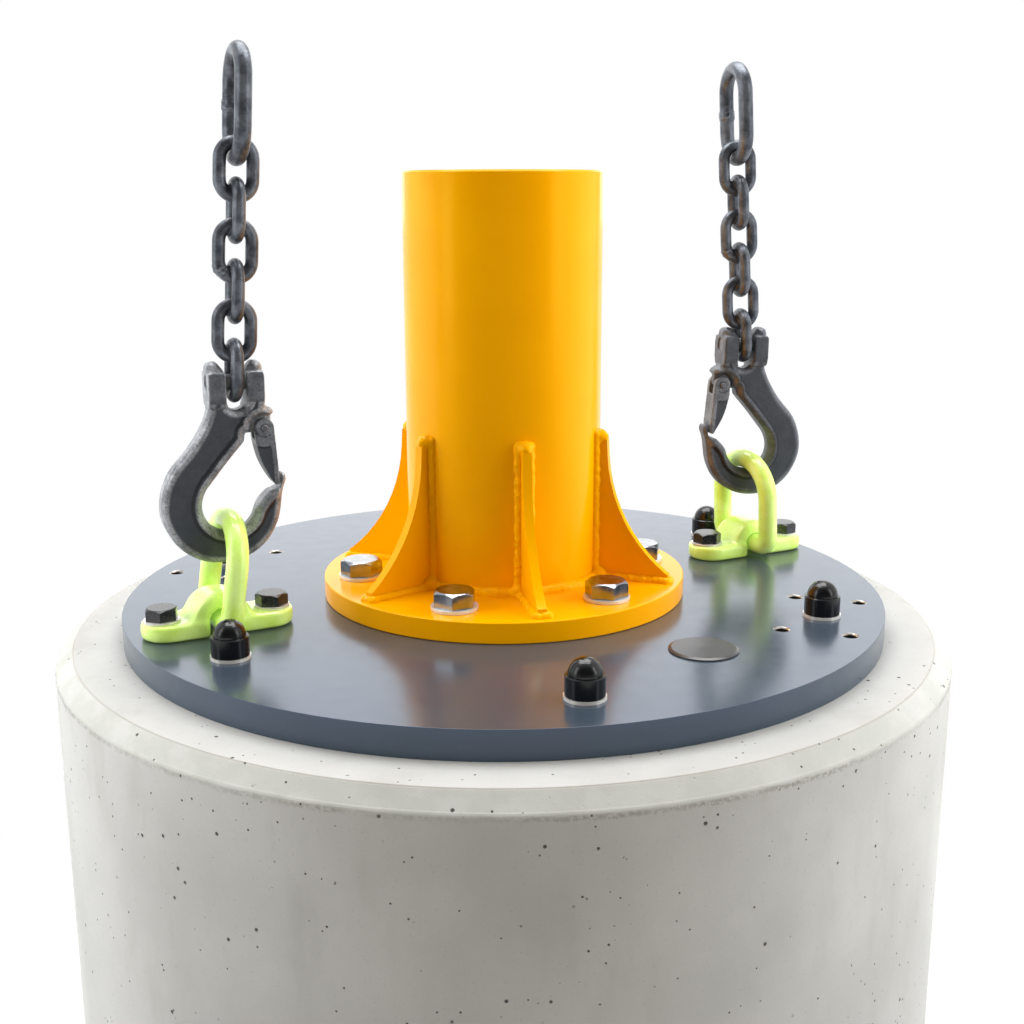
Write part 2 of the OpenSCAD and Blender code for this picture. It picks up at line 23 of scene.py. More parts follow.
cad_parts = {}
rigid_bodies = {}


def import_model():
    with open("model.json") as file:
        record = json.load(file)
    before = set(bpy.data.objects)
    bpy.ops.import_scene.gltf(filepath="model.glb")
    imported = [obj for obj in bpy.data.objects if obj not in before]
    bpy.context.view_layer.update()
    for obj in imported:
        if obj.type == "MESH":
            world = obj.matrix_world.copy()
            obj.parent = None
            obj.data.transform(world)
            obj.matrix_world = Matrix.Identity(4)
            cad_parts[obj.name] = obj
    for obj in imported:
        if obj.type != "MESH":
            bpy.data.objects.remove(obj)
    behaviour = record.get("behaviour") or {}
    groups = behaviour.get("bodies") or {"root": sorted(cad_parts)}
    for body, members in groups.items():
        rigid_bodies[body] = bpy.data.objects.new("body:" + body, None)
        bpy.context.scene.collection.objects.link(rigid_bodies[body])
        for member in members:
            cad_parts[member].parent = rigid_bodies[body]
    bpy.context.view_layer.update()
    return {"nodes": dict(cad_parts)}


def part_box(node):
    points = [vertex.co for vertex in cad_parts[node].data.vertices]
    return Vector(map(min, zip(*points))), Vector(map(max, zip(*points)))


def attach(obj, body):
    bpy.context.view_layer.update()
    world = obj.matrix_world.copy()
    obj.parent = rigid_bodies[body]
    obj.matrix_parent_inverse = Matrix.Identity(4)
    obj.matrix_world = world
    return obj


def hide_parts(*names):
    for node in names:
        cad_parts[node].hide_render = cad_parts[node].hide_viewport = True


log = logging.getLogger("jib_crane_base")

Feed = Union["Wire", float, int, str, Sequence[float]]
Feeds = Mapping[Union[int, str], Feed]
Piece = bpy.types.Object
Drop = tuple[Vector, float]

SMOOTH_BELOW_DEGREES = 50
EASED_ABOVE_DEGREES = 35
FLAT_WITHIN_DEGREES = 0.3
FLAT_FACE_WEIGHT = 80


# ---- shader writing


def hue(code: str) -> tuple[float, float, float, float]:
    """Turn a display colour into the linear one a shader takes.

    Args:
        code: The colour as six hexadecimal digits.

    Returns:
        Red, green, blue and alpha in linear light.
    """
    parts = [int(code[i : i + 2], 16) / 255 for i in (0, 2, 4)]
    linear = [p / 12.92 if p <= 0.04045 else ((p + 0.055) / 1.055) ** 2.4 for p in parts]
    return (linear[0], linear[1], linear[2], 1.0)


@dataclass
class Wire:
    """One output of a shader node, which Python's operators can work on."""

    sheet: ShaderSheet
    socket: bpy.types.NodeSocket

    def _math(self, operation: str, *terms: Feed) -> Wire:
        """Add one Math node on these terms."""
        return self.sheet.node("ShaderNodeMath", {"operation": operation}, dict(enumerate(terms)))

    def __add__(self, other: Feed) -> Wire:
        """Sum."""
        return self._math("ADD", self, other)

    __radd__ = __add__

    def __sub__(self, other: Feed) -> Wire:
        """Difference."""
        return self._math("SUBTRACT", self, other)

    def __rsub__(self, other: Feed) -> Wire:
        """Difference with this wire taken away."""
        return self._math("SUBTRACT", other, self)

    def __mul__(self, other: Feed) -> Wire:
        """Product."""
        return self._math("MULTIPLY", self, other)

    __rmul__ = __mul__

    def greatest(self, other: Feed) -> Wire:
        """The larger of the two."""
        return self._math("MAXIMUM", self, other)

    def size(self) -> Wire:
        """The value without its sign."""
        return self._math("ABSOLUTE", self)

    def rise(self, low: float, high: float, start: float = 0.0, end: float = 1.0) -> Wire:
        """A smooth step that gives start below low and end above high."""
        feeds: Feeds = {0: self, 1: low, 2: high, 3: start, 4: end}
        return self.sheet.node("ShaderNodeMapRange", {"interpolation_type": "SMOOTHSTEP"}, feeds)


class ShaderSheet:
    """A material or world whose nodes are being written."""

    def __init__(self, owner: Union[bpy.types.Material, bpy.types.World]) -> None:
        """Clear the owner's nodes.

        Args:
            owner: The material or world to write.
        """
        owner.use_nodes = True
        self.tree = owner.node_tree
        self.tree.nodes.clear()

    def node(
        self,
        kind: str,
        settings: Optional[Mapping[str, object]] = None,
        feeds: Optional[Feeds] = None,
        output: Union[int, str] = 0,
    ) -> Wire:
        """Add one node.

        Args:
            kind: The node's type name.
            settings: Its own settings, which are set first.
            feeds: Values or wires for its inputs, with a colour given as six hexadecimal digits.
            output: Which output to hand back.

        Returns:
            The chosen output.
        """
        made = self.tree.nodes.new(kind)
        for name, value in (settings or {}).items():
            setattr(made, name, value)
        for name, value in (feeds or {}).items():
            if isinstance(value, Wire):
                self.tree.links.new(value.socket, made.inputs[name])
            else:
                made.inputs[name].default_value = hue(value) if isinstance(value, str) else value
        return Wire(self, made.outputs[output] if len(made.outputs) else None)

    @cached_property
    def own(self) -> Wire:
        """The piece's own coordinates in metres."""
        return self.node("ShaderNodeTexCoord", output="Object")

    def stretched(self, *scale: float) -> Wire:
        """The piece's own coordinates, scaled along x, y and z."""
        return self.node("ShaderNodeMapping", feeds={"Vector": self.own, "Scale": scale})

    def grain(
        self, per_metre: float, detail: float = 3.0, rough: float = 0.5, where: Optional[Wire] = None
    ) -> Wire:
        """Noise around a half, with this many lumps to the metre and finer layers of this strength."""
        feeds: Feeds = {"Vector": where or self.own, "Scale": per_metre, "Detail": detail, "Roughness": rough}
        return self.node("ShaderNodeTexNoise", feeds=feeds)

    def distance(self, where: Wire) -> Wire:
        """How far these coordinates lie from zero."""
        return self.node("ShaderNodeVectorMath", {"operation": "LENGTH"}, {0: where}, "Value")

    def ray(self, kind: str) -> Wire:
        """Tell light rays of one kind, as 1, from all others, as 0."""
        return self.node("ShaderNodeLightPath", output=f"Is {kind} Ray")

    def blend(self, share: Feed, first: Feed, second: Feed) -> Wire:
        """Mix two colours by a share from 0 to 1."""
        return self.node("ShaderNodeMix", {"data_type": "RGBA"}, {0: share, 6: first, 7: second}, output=2)

    def bump(self, height: Wire, depth: float, under: Optional[Wire] = None) -> Wire:
        """Raise the surface by a height map.

        Args:
            height: The height, from 0 to 1.
            depth: How many metres a height of 1 stands for.
            under: A normal that this bump is laid on.

        Returns:
            The new normal.
        """
        feeds: dict[Union[int, str], Feed] = {"Strength": 1.0, "Distance": depth, "Height": height}
        if under is not None:
            feeds["Normal"] = under
        return self.node("ShaderNodeBump", feeds=feeds, output="Normal")

    def surface(self, feeds: Feeds) -> None:
        """Finish with one principled surface."""
        skin = self.node("ShaderNodeBsdfPrincipled", feeds=feeds)
        self.node("ShaderNodeOutputMaterial", feeds={"Surface": skin})


# ---- finishes


@dataclass(frozen=True)
class Finish:
    """A finish, which writes its material once and hands it out to every piece that wears it."""

    name: str

    def write(self, sheet: ShaderSheet) -> None:
        """Write the nodes."""
        raise NotImplementedError

    def material(self) -> bpy.types.Material:
        """Write the material when it is first asked for.

        Returns:
            The finish's material.
        """
        known = bpy.data.materials.get(self.name)
        if known is not None:
            return known
        made = bpy.data.materials.new(self.name)
        self.write(ShaderSheet(made))
        return made


@dataclass(frozen=True)
class SprayedPaint(Finish):
    """Sprayed paint with a soft orange-peel skin and small shifts of tone."""

    deep: str = "EFA100"
    full: str = "F3A800"
    roughness: float = 0.19
    reflection: float = 1.33
    mirror_tint: str = "FFF040"
    peel_depth: float = 0.00003
    peel_per_metre: float = 260.0
    dust: float = 0.05

    def write(self, sheet: ShaderSheet) -> None:
        """Write the nodes.

        Args:
            sheet: The material being written.
        """
        clouds = sheet.grain(9, 2).rise(0.25, 0.75)
        dust = sheet.grain(900, 1).rise(0.70, 0.78)
        peel = sheet.grain(self.peel_per_metre, 1)
        wipe = sheet.grain(45, 3)
        tone = sheet.blend(clouds, self.deep, self.full)
        sheet.surface(
            {
                "Base Color": sheet.blend(dust * self.dust, tone, "FFFFFF"),
                "Roughness": wipe.rise(0.3, 0.7, self.roughness - 0.015, self.roughness + 0.02),
                "IOR": self.reflection,
                "Specular Tint": self.mirror_tint,
                "Normal": sheet.bump(peel, self.peel_depth),
            }
        )


@dataclass(frozen=True)
class DippedLacquer(Finish):
    """Thick lacquer over a rough casting or forging, with a painted glow: it gives off light though it is no
    lamp.
    """

    deep: str = "C4E963"
    full: str = "D3F288"
    lump_depth: float = 0.0006
    sand_depth: float = 0.00005
    # Strength of the painted glow, which is painted light.
    glow: float = 0.11
    coat: float = 0.9

    def write(self, sheet: ShaderSheet) -> None:
        """Write the nodes.

        Args:
            sheet: The material being written.
        """
        lumps = sheet.grain(90, 2)
        sand = sheet.grain(700, 2)
        clouds = sheet.grain(40, 2).rise(0.3, 0.7)
        tone = sheet.blend(clouds, self.deep, self.full)
        sheet.surface(
            {
                "Base Color": tone,
                # Painted light: the lacquer glows in its own colour to look brighter, though it is no lamp.
                "Emission Color": tone,
                "Emission Strength": self.glow,
                "Roughness": sand.rise(0.3, 0.7, 0.24, 0.36),
                "Coat Weight": self.coat,
                "Coat Roughness": 0.16,
                "Normal": sheet.bump(sand, self.sand_depth, sheet.bump(lumps, self.lump_depth)),
            }
        )


@dataclass(frozen=True)
class CastConcrete(Finish):
    """Fair-faced concrete with cloudy tone, fine sand and scattered air holes, painted dark inside as painted
    shade.
    """

    top: float = 0.75
    radius: float = 0.5005
    rim_width: float = 0.019
    rim_depths: Sequence[float] = (0.0235, 0.0200, 0.0190, 0.0160)
    rim_wobble: float = 0.005
    slope_depths: Sequence[float] = (0.0200, 0.0170, 0.0012, 0.0002)
    crease_half: Sequence[float] = (0.0004, 0.0013)
    crease_depths: Sequence[float] = (0.004, 0.002)
    large_holes: Sequence[float] = (46, 0.100, 0.50)
    small_holes: Sequence[float] = (105, 0.14, 0.53)
    relief_depth: float = 0.0010

    def write(self, sheet: ShaderSheet) -> None:
        """Write the nodes.

        Args:
            sheet: The material being written.
        """
        clouds = sheet.grain(5, 5, 0.55).rise(0.3, 0.7)
        stains = sheet.grain(16, 4, 0.6, sheet.stretched(1, 1, 0.35)).rise(0.48, 0.75)
        sand = sheet.grain(900, 2)
        speckle = sheet.grain(380, 2).rise(0.60, 0.75)
        height = sheet.node("ShaderNodeSeparateXYZ", feeds={0: sheet.own}, output="Z")
        wavy_height = height + (sheet.grain(60, 3) - 0.5) * self.rim_wobble
        rim = self._band(wavy_height, self.rim_depths)
        patches = sheet.grain(8, 2).rise(0.42, 0.62, 0.30, 1.0)
        bite = sheet.grain(220, 3, 0.6).rise(0.36, 0.60) * patches
        slope = self._band(height, self.slope_depths)
        blotch = sheet.grain(22, 4, 0.6).rise(0.42, 0.62)
        reach = sheet.distance(sheet.stretched(1, 1, 0))
        off_line = (reach - (self.radius - self.rim_width)).size()
        near_top = height.rise(*(self.top - depth for depth in self.crease_depths))
        crease = (1 - off_line.rise(*self.crease_half)) * near_top
        holes = self._holes(sheet, *self.large_holes).greatest(self._holes(sheet, *self.small_holes))
        base = sheet.blend(clouds, "AAAAA7", "B7B7B4")
        base = sheet.blend(stains * 0.35, base, "9B9992")
        base = sheet.blend(speckle * 0.22, base, "86837A")
        base = sheet.blend(slope * (blotch * 0.35 + 0.15), base, "9EA198")
        base = sheet.blend(rim * bite * 0.60, base, "7C7A70")
        base = sheet.blend(crease * 0.45, base, "8A8376")
        # Painted shade: the air holes are filled near-black for the shade inside them.
        base = sheet.blend(holes * 0.9, base, "2C2A26")
        relief = sand * 0.10 + clouds * 0.25 + (1 - holes) - rim * bite * 0.35 - crease * 0.3
        sheet.surface(
            {
                "Base Color": base,
                "Roughness": speckle.rise(0, 1, 0.78, 0.92),
                "Normal": sheet.bump(relief, self.relief_depth),
            }
        )

    def _band(self, height: Wire, depths: Sequence[float]) -> Wire:
        """A soft band that starts, fills, fades and ends at these depths below the block's top."""
        start, full, fade, end = (self.top - depth for depth in depths)
        return height.rise(start, full) * (1 - height.rise(fade, end))

    def _holes(self, sheet: ShaderSheet, per_metre: float, width: float, rarity: float) -> Wire:
        """Small round air holes, kept only where a slow noise allows them.

        Args:
            sheet: The material being written.
            per_metre: How many places for a hole a metre holds.
            width: The hole's radius as a share of the gap between places.
            rarity: The noise above which holes appear.

        Returns:
            1 in a hole and 0 elsewhere.
        """
        feeds: Feeds = {"Vector": sheet.own, "Scale": per_metre}
        spots = sheet.node("ShaderNodeTexVoronoi", feeds=feeds, output="Distance")
        allowed = sheet.grain(per_metre * 0.5, 1).rise(rarity, rarity + 0.06)
        return (1 - spots.rise(width * 0.6, width)) * allowed


@dataclass(frozen=True)
class ForgedSteel(Finish):
    """Heat-treated forged steel with dark scale, worn bright along its edges."""

    scale: str = "32363D"
    worn: str = "A6A9AE"
    wear: float = 0.85
    wear_map: str = ""
    metal: float = 0.25
    gloss: float = 0.34
    fine_depth: float = 0.00006
    pit_depth: float = 0.00035

    def write(self, sheet: ShaderSheet) -> None:
        """Write the nodes.

        Args:
            sheet: The material being written.
        """
        fine = sheet.grain(1500, 3, 0.6)
        pits = sheet.grain(420, 4, 0.6)
        clouds = sheet.grain(60, 4, 0.6).rise(0.3, 0.7)
        point = sheet.node("ShaderNodeNewGeometry", output="Pointiness")
        edge = point.rise(0.512, 0.55)
        groove: Feed = 0.0
        if self.wear_map:
            rubbed = sheet.node("ShaderNodeAttribute", {"attribute_name": self.wear_map}, output="Fac")
            edge = edge.greatest(rubbed * 0.9)
            groove = rubbed.rise(-1, 0, 0.75, 0)
        speckle = pits.rise(0.34, 0.60, 0.50, 1.0) * fine.rise(0.34, 0.60, 0.68, 1.0)
        edge = edge * speckle * clouds.rise(0, 1, 0.48, 1.0) * self.wear
        base = sheet.blend(clouds, self.scale, "3C4047")
        base = sheet.blend(pits.rise(0.58, 0.72) * 0.5, base, "24262A")
        base = sheet.blend(fine.rise(0.54, 0.70) * 0.30, base, "676B73")
        base = sheet.blend(groove, base, "16181B")
        base = sheet.blend(edge, base, self.worn)
        sheet.surface(
            {
                "Base Color": base,
                "Metallic": edge * 0.15 + self.metal,
                "Roughness": fine.rise(0.3, 0.7, self.gloss, self.gloss + 0.12) - edge * 0.06,
                "Normal": sheet.bump(fine, self.fine_depth, sheet.bump(pits, self.pit_depth)),
            }
        )


@dataclass(frozen=True)
class BlackedSteel(Finish):
    """Oiled black bolt steel."""

    fine_depth: float = 0.00005

    def write(self, sheet: ShaderSheet) -> None:
        """Write the nodes.

        Args:
            sheet: The material being written.
        """
        fine = sheet.grain(800, 3)
        clouds = sheet.grain(120, 2).rise(0.35, 0.65)
        point = sheet.node("ShaderNodeNewGeometry", output="Pointiness")
        tone = sheet.blend(clouds, "191A1D", "232428")
        sheet.surface(
            {
                "Base Color": sheet.blend(point.rise(0.53, 0.60) * 0.3, tone, "5E6066"),
                "Metallic": 0.1,
                "IOR": 1.6,
                "Roughness": fine.rise(0.3, 0.7, 0.20, 0.32),
                "Normal": sheet.bump(fine, self.fine_depth),
            }
        )


@dataclass(frozen=True)
class ZincPlate(Finish):
    """Bright zinc plating on bolts and washers."""

    colour: str = "A9ACB0"
    dull: str = "8E9195"
    metal: float = 1.0
    fine_depth: float = 0.000008

    def write(self, sheet: ShaderSheet) -> None:
        """Write the nodes.

        Args:
            sheet: The material being written.
        """
        fine = sheet.grain(1100, 3)
        clouds = sheet.grain(90, 3).rise(0.3, 0.7)
        sheet.surface(
            {
                "Base Color": sheet.blend(clouds, self.dull, self.colour),
                "Metallic": self.metal,
                "Roughness": clouds.rise(0, 1, 0.15, 0.22),
                "Normal": sheet.bump(fine, self.fine_depth),
            }
        )


@dataclass(frozen=True)
class MouldedPlastic(Finish):
    """Black moulded plastic with a light satin or a gloss."""

    colour: str = "08090B"
    roughness: float = 0.20
    reflection: float = 1.5
    fine_depth: float = 0.000008

    def write(self, sheet: ShaderSheet) -> None:
        """Write the nodes.

        Args:
            sheet: The material being written.
        """
        fine = sheet.grain(600, 2)
        scuff = sheet.grain(300, 3, where=sheet.stretched(1, 6, 1)).rise(0.62, 0.80)
        sheet.surface(
            {
                "Base Color": sheet.blend(scuff * 0.04, self.colour, "5A5B60"),
                "Roughness": fine.rise(0.3, 0.7, self.roughness - 0.01, self.roughness + 0.02) + scuff * 0.05,
                "IOR": self.reflection,
                "Normal": sheet.bump(fine, self.fine_depth),
            }
        )


MAST_YELLOW = SprayedPaint("mast_yellow")
PLATE_GREY = SprayedPaint(
    "plate_anthracite",
    deep="36404B",
    full="3A4550",
    reflection=1.75,
    mirror_tint="D2E0FF",
    peel_depth=0.000005,
    peel_per_metre=300.0,
    dust=0.03,
)
LIFTING_LIME = DippedLacquer("lifting_lime")
BLOCK_CONCRETE = CastConcrete("block_concrete")
# Lit and shaded copies of one worn steel for the two identical hooks: painted light makes the left hook's worn
# edges lighter, painted shade makes the right hook's darker.
LIT_WORN_HOOK_STEEL = ForgedSteel("lit_worn_hook_steel", worn="C8CBD0", wear=0.95, wear_map="wear")
SHADED_WORN_HOOK_STEEL = ForgedSteel("shaded_worn_hook_steel", worn="8A8D93", wear=0.7, wear_map="wear")
LATCH_STEEL = ForgedSteel("latch_steel", wear_map="wear")
PIN_STEEL = ForgedSteel("pin_steel", scale="5E6267")
CHAIN_STEEL = ForgedSteel("chain_steel", scale="70757D", worn="B4B8BE", wear=0.9, metal=0.65, gloss=0.27)
BOLT_BLACK = BlackedSteel("bolt_black")
BOLT_ZINC = ZincPlate("bolt_zinc")
WASHER_ZINC = ZincPlate("washer_zinc", colour="DDDBD6", dull="CFCDC8", metal=0.35)
HOLE_STEEL = ZincPlate("hole_steel", colour="C2BCB3", dull="9A948B", metal=0.7)
# Painted shade: the dark colour of the holes' bores stands in for the shade deep inside them.
PAINTED_BORE_SHADE = ZincPlate("painted_bore_shade", colour="3C3A38", dull="242322", metal=0.4)
CAP_PLASTIC = MouldedPlastic("cap_plastic")
PLUG_PLASTIC = MouldedPlastic("plug_plastic", colour="232427", roughness=0.30, reflection=1.6)


# ---- bench work


def make_active(*pieces: Piece) -> None:
    """Select these pieces alone.

    Args:
        *pieces: The pieces, of which the first becomes the active one.
    """
    bpy.ops.object.select_all(action="DESELECT")
    for piece in pieces:
        piece.select_set(True)
    bpy.context.view_layer.objects.active = pieces[0]


def modify(piece: Piece, kind: str, **settings: object) -> None:
    """Add a modifier and apply it.

    Args:
        piece: The piece to work on.
        kind: The modifier's type name.
        **settings: The modifier's settings.
    """
    make_active(piece)
    bpy.ops.object.modifier_add(type=kind)
    modifier = piece.modifiers[-1]
    for name, value in settings.items():
        setattr(modifier, name, value)
    bpy.ops.object.modifier_apply(modifier=modifier.name)


def smooth_by_angle(piece: Piece) -> None:
    """Shade smooth, apart from the sharp edges."""
    make_active(piece)
    bpy.ops.object.shade_smooth_by_angle(angle=math.radians(SMOOTH_BELOW_DEGREES))


def tidy_normals(piece: Piece, gap: float = 0.00002) -> None:
    """Merge doubled points and turn every face outwards.

    Args:
        piece: The piece to work on.
        gap: How far apart doubled points may be.
    """
    make_active(piece)
    bpy.ops.object.mode_set(mode="EDIT")
    bpy.ops.mesh.select_all(action="SELECT")
    bpy.ops.mesh.remove_doubles(threshold=gap)
    bpy.ops.mesh.normals_make_consistent(inside=False)
    bpy.ops.object.mode_set(mode="OBJECT")


@dataclass
class Workshop:
    """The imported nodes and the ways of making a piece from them."""

    nodes: Mapping[str, Piece]

    def dress(self, node: str, finish: Finish) -> None:
        """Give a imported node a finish.

        Args:
            node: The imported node.
            finish: What it is made of.
        """
        for place in self.nodes[node].material_slots:
            place.material = finish.material()
        log.info("dressed %s in %s", node, finish.name)

    def merged_copy(self, node: str, name: str) -> Piece:
        """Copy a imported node, merge its triangles and join the flat ones.

        Args:
            node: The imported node.
            name: The new piece's name.

        Returns:
            The copy.
        """
        piece = bpy.data.objects.new(name, self.nodes[node].data.copy())
        bpy.context.scene.collection.objects.link(piece)
        make_active(piece)
        bpy.ops.mesh.customdata_custom_splitnormals_clear()
        tidy_normals(piece)
        bpy.ops.object.mode_set(mode="EDIT")
        bpy.ops.mesh.select_all(action="SELECT")
        bpy.ops.mesh.dissolve_limited(angle_limit=math.radians(FLAT_WITHIN_DEGREES))
        bpy.ops.object.mode_set(mode="OBJECT")
        return piece

    def finish_piece(self, piece: Piece, body: str, finish: Finish, slot: str, *replaced: str) -> Piece:
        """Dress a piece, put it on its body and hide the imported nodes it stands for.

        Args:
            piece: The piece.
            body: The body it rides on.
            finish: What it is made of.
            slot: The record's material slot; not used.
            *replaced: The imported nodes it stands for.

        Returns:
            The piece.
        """
        piece.data.materials.clear()
        piece.data.materials.append(finish.material())
        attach(piece, body)
        if replaced:
            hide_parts(*replaced)
        log.info("made %s: %d faces on %s", piece.name, len(piece.data.polygons), body)
        return piece

    def eased_copy(self, node: str, body: str, finish: Finish, slot: str, width: float) -> Piece:
        """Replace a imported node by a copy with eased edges.

        Args:
            node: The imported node.
            body: The body it rides on.
            finish: What it is made of.
            slot: The record's material slot.
            width: How wide the eased edge is.

        Returns:
            The piece.
        """
        piece = self.merged_copy(node, f"{node}_eased")
        easing = {"width": width, "segments": 2, "limit_method": "ANGLE", "miter_outer": "MITER_ARC"}
        modify(piece, "BEVEL", **easing, angle_limit=math.radians(EASED_ABOVE_DEGREES), use_clamp_overlap=True)
        smooth_by_angle(piece)
        modify(piece, "WEIGHTED_NORMAL", mode="FACE_AREA", weight=FLAT_FACE_WEIGHT, keep_sharp=True)
        return self.finish_piece(piece, body, finish, slot, node)


def remesh_and_smooth(piece: Piece, grid: float, passes: int) -> None:
    """Turn a piece into one even skin and soften it.

    Args:
        piece: The piece.
        grid: The size of the even faces.
        passes: How many smoothing passes it gets.
    """
    modify(piece, "REMESH", mode="VOXEL", voxel_size=grid, use_smooth_shade=True)
    modify(piece, "SMOOTH", factor=0.5, iterations=passes)
    make_active(piece)
    bpy.ops.object.shade_smooth()


# ---- block and plate


@dataclass
class BallastBlock:
    """The round concrete block."""

    shop: Workshop
    node: str = "concrete_block"

    def build(self) -> None:
        """Dress the block."""
        self.shop.dress(self.node, BLOCK_CONCRETE)


@dataclass
class GroundPlate:
    """The ground plate with its anchors, caps and hole plug."""

    shop: Workshop
    body: str = "base"
    edge: float = 0.0005
    rim_band: float = 0.006
    flat_facing: float = 0.97
    bore_facing: float = 0.3
    cap_count: int = 6

    def build(self) -> None:
        """Ease the plate's edges and dress what sits on it."""
        plate = self.shop.eased_copy("ground_plate", self.body, PLATE_GREY, "anthracite_paint", self.edge)
        self.bare_holes(plate)
        self.shop.dress("anchor_studs", BOLT_ZINC)
        self.shop.dress("anchor_washers", WASHER_ZINC)
        self.shop.dress("hole_plug", PLUG_PLASTIC)
        for i in range(1, self.cap_count + 1):
            self.shop.dress(f"anchor_cap_{i}", CAP_PLASTIC)

    def bare_holes(self, plate: Piece) -> None:
        """Leave the sinks of the plate's holes bare metal, and paint their bore walls dark as painted shade.

        Args:
            plate: The eased plate.
        """
        plate_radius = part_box("ground_plate")[1].x
        plate.data.materials.append(HOLE_STEEL.material())
        plate.data.materials.append(PAINTED_BORE_SHADE.material())
        sink, bore = 1, 2
        for face in plate.data.polygons:
            inside = math.hypot(face.center.x, face.center.y) < plate_radius - self.rim_band
            facing_up = abs(face.normal.z)
            if inside and facing_up < self.flat_facing:
                # Steep bore walls get the painted shade; the sloping sinks stay bare metal.
                face.material_index = bore if facing_up < self.bore_facing else sink


# ---- mast foot


@dataclass
class MastFoot:
    """The mast tube with its flange, gussets, weld beads and bolts."""

    shop: Workshop
    body: str = "base"
    mast_radius: float = 0.10955
    gusset_half: float = 0.005
    gusset_count: int = 6
    bolt_count: int = 6
    bead_radius: float = 0.0062
    ring_bead_radius: float = 0.0092
    bead_pitch: float = 0.0026
    bead_shift: float = 0.10
    bead_sizes: Sequence[float] = (0.90, 1.08)
    gusset_seed: int = 7
    ring_bead_pitch: float = 0.0036
    ring_bead_shift: float = 0.0004
    ring_bead_sizes: Sequence[float] = (0.93, 1.06)
    ring_seed: int = 11
    ring_bite: float = 0.0004
    ring_drop: float = 0.0002
    toe_bead_share: float = 0.9
    wall_bite: float = 0.0006
    start_lift: float = 0.0005
    end_lift: float = 0.0002
    end_gap: float = 0.001
    corner_spread: float = 1.3
    corner_ball: Sequence[float] = (0.0045, 0.0035, 0.0110)
    toe_gap: float = 0.002
    toe_spread: float = 1.1
    toe_ball_share: float = 1.1
    crown_balls: Sequence[Sequence[float]] = ((0.0035, 0.0030, 0.0092), (0.0080, 0.0035, 0.0062))
    weld_grid: float = 0.0011
    weld_passes: int = 5
    edge: float = 0.0014
    bolt_edge: float = 0.0007
    washer_edge: float = 0.0005

    def build(self) -> None:
        """Make the flange, the gussets, their beads and the bolts."""
        self.shop.dress("mast_tube", MAST_YELLOW)
        self.shop.eased_copy("mast_flange", self.body, MAST_YELLOW, "yellow_paint", self.edge)
        for i in range(1, self.gusset_count + 1):
            self.shop.eased_copy(f"gusset_{i}", self.body, MAST_YELLOW, "yellow_paint", self.edge)
        self.weld_beads()
        for i in range(1, self.bolt_count + 1):
            self.shop.eased_copy(f"flange_bolt_{i}", self.body, BOLT_ZINC, "zinc", self.bolt_edge)
        self.shop.eased_copy("flange_washers", self.body, WASHER_ZINC, "zinc", self.washer_edge)

    def bead_line(self, start: Vector, end: Vector, radius: float, draw: random.Random) -> Iterator[Drop]:
        """Yield the drops of one straight weld run.

        Args:
            start: Where the run starts.
            end: Where it ends.
            radius: The size of a drop.
            draw: The random draw for small shifts.

        Yields:
            Each drop's centre and radius.
        """
        count = max(2, round((end - start).length / self.bead_pitch))
        for i in range(count + 1):
            shift = Vector([draw.uniform(-1, 1) * radius * self.bead_shift for _ in range(3)])
            yield start.lerp(end, i / count) + shift, radius * draw.uniform(*self.bead_sizes)

    def gusset_drops(self, toe: float, foot: float, head: float) -> list[Drop]:
        """The drops of one gusset's welds, in a frame whose x axis runs along the gusset.

        Args:
            toe: The radius at which the gusset ends.
            foot: The height of the flange's top.
            head: The height of the gusset's top.

        Returns:
            Centre and radius of each drop.
        """
        draw = random.Random(self.gusset_seed)
        wall = self.mast_radius - self.wall_bite
        drops: list[Drop] = []
        for side in (-1, 1):
            y = side * (self.gusset_half + self.wall_bite)
            corner = Vector((wall, y, foot + self.start_lift))
            outer_end = Vector((toe - self.end_gap, y, foot + self.end_lift))
            upper_end = Vector((wall, y, head - self.end_gap))
            drops += self.bead_line(corner, outer_end, self.bead_radius, draw)
            drops += self.bead_line(corner, upper_end, self.bead_radius, draw)
            out, up, radius = self.corner_ball
            drops.append((Vector((wall + out, y * self.corner_spread, foot + up)), radius))
            toe_ball = Vector((toe - self.toe_gap, y * self.toe_spread, foot))
            drops.append((toe_ball, self.bead_radius * self.toe_ball_share))
        for out, down, radius in self.crown_balls:
            drops.append((Vector((wall + out, 0, head - down)), radius))
        toe_start, toe_end = (Vector((toe, y, foot)) for y in (-self.gusset_half, self.gusset_half))
        drops += self.bead_line(toe_start, toe_end, self.bead_radius * self.toe_bead_share, draw)
        return drops

    def weld_beads(self) -> None:
        """Model one gusset's welds, copy them round, add the ring weld and run them together."""
        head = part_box("gusset_1")[1].z
        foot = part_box("mast_flange")[1].z
        reaches, turns = zip(*(self.polar(f"gusset_{i}") for i in range(1, self.gusset_count + 1)))
        first = self.drop_piece("weld_beads", self.gusset_drops(max(reaches), foot, head))
        copies = [first]
        for turn in turns[1:]:
            copy = bpy.data.objects.new("weld_copy", first.data.copy())
            bpy.context.scene.collection.objects.link(copy)
            copy.data.transform(Matrix.Rotation(turn, 4, "Z"))
            copies.append(copy)
        first.data.transform(Matrix.Rotation(turns[0], 4, "Z"))
        copies.append(self.drop_piece("ring_weld", self.ring_drops(foot)))
        make_active(*copies)
        bpy.ops.object.join()
        remesh_and_smooth(first, self.weld_grid, self.weld_passes)
        self.shop.finish_piece(first, self.body, MAST_YELLOW, "yellow_paint")

    def polar(self, node: str) -> tuple[float, float]:
        """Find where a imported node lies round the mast's axis.

        Args:
            node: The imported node.

        Returns:
            How far out it reaches, and its direction in radians.
        """
        points = [v.co for v in self.shop.nodes[node].data.vertices]
        x, y = (sum(p[axis] for p in points) / len(points) for axis in (0, 1))
        return max(math.hypot(p.x, p.y) for p in points), math.atan2(y, x)

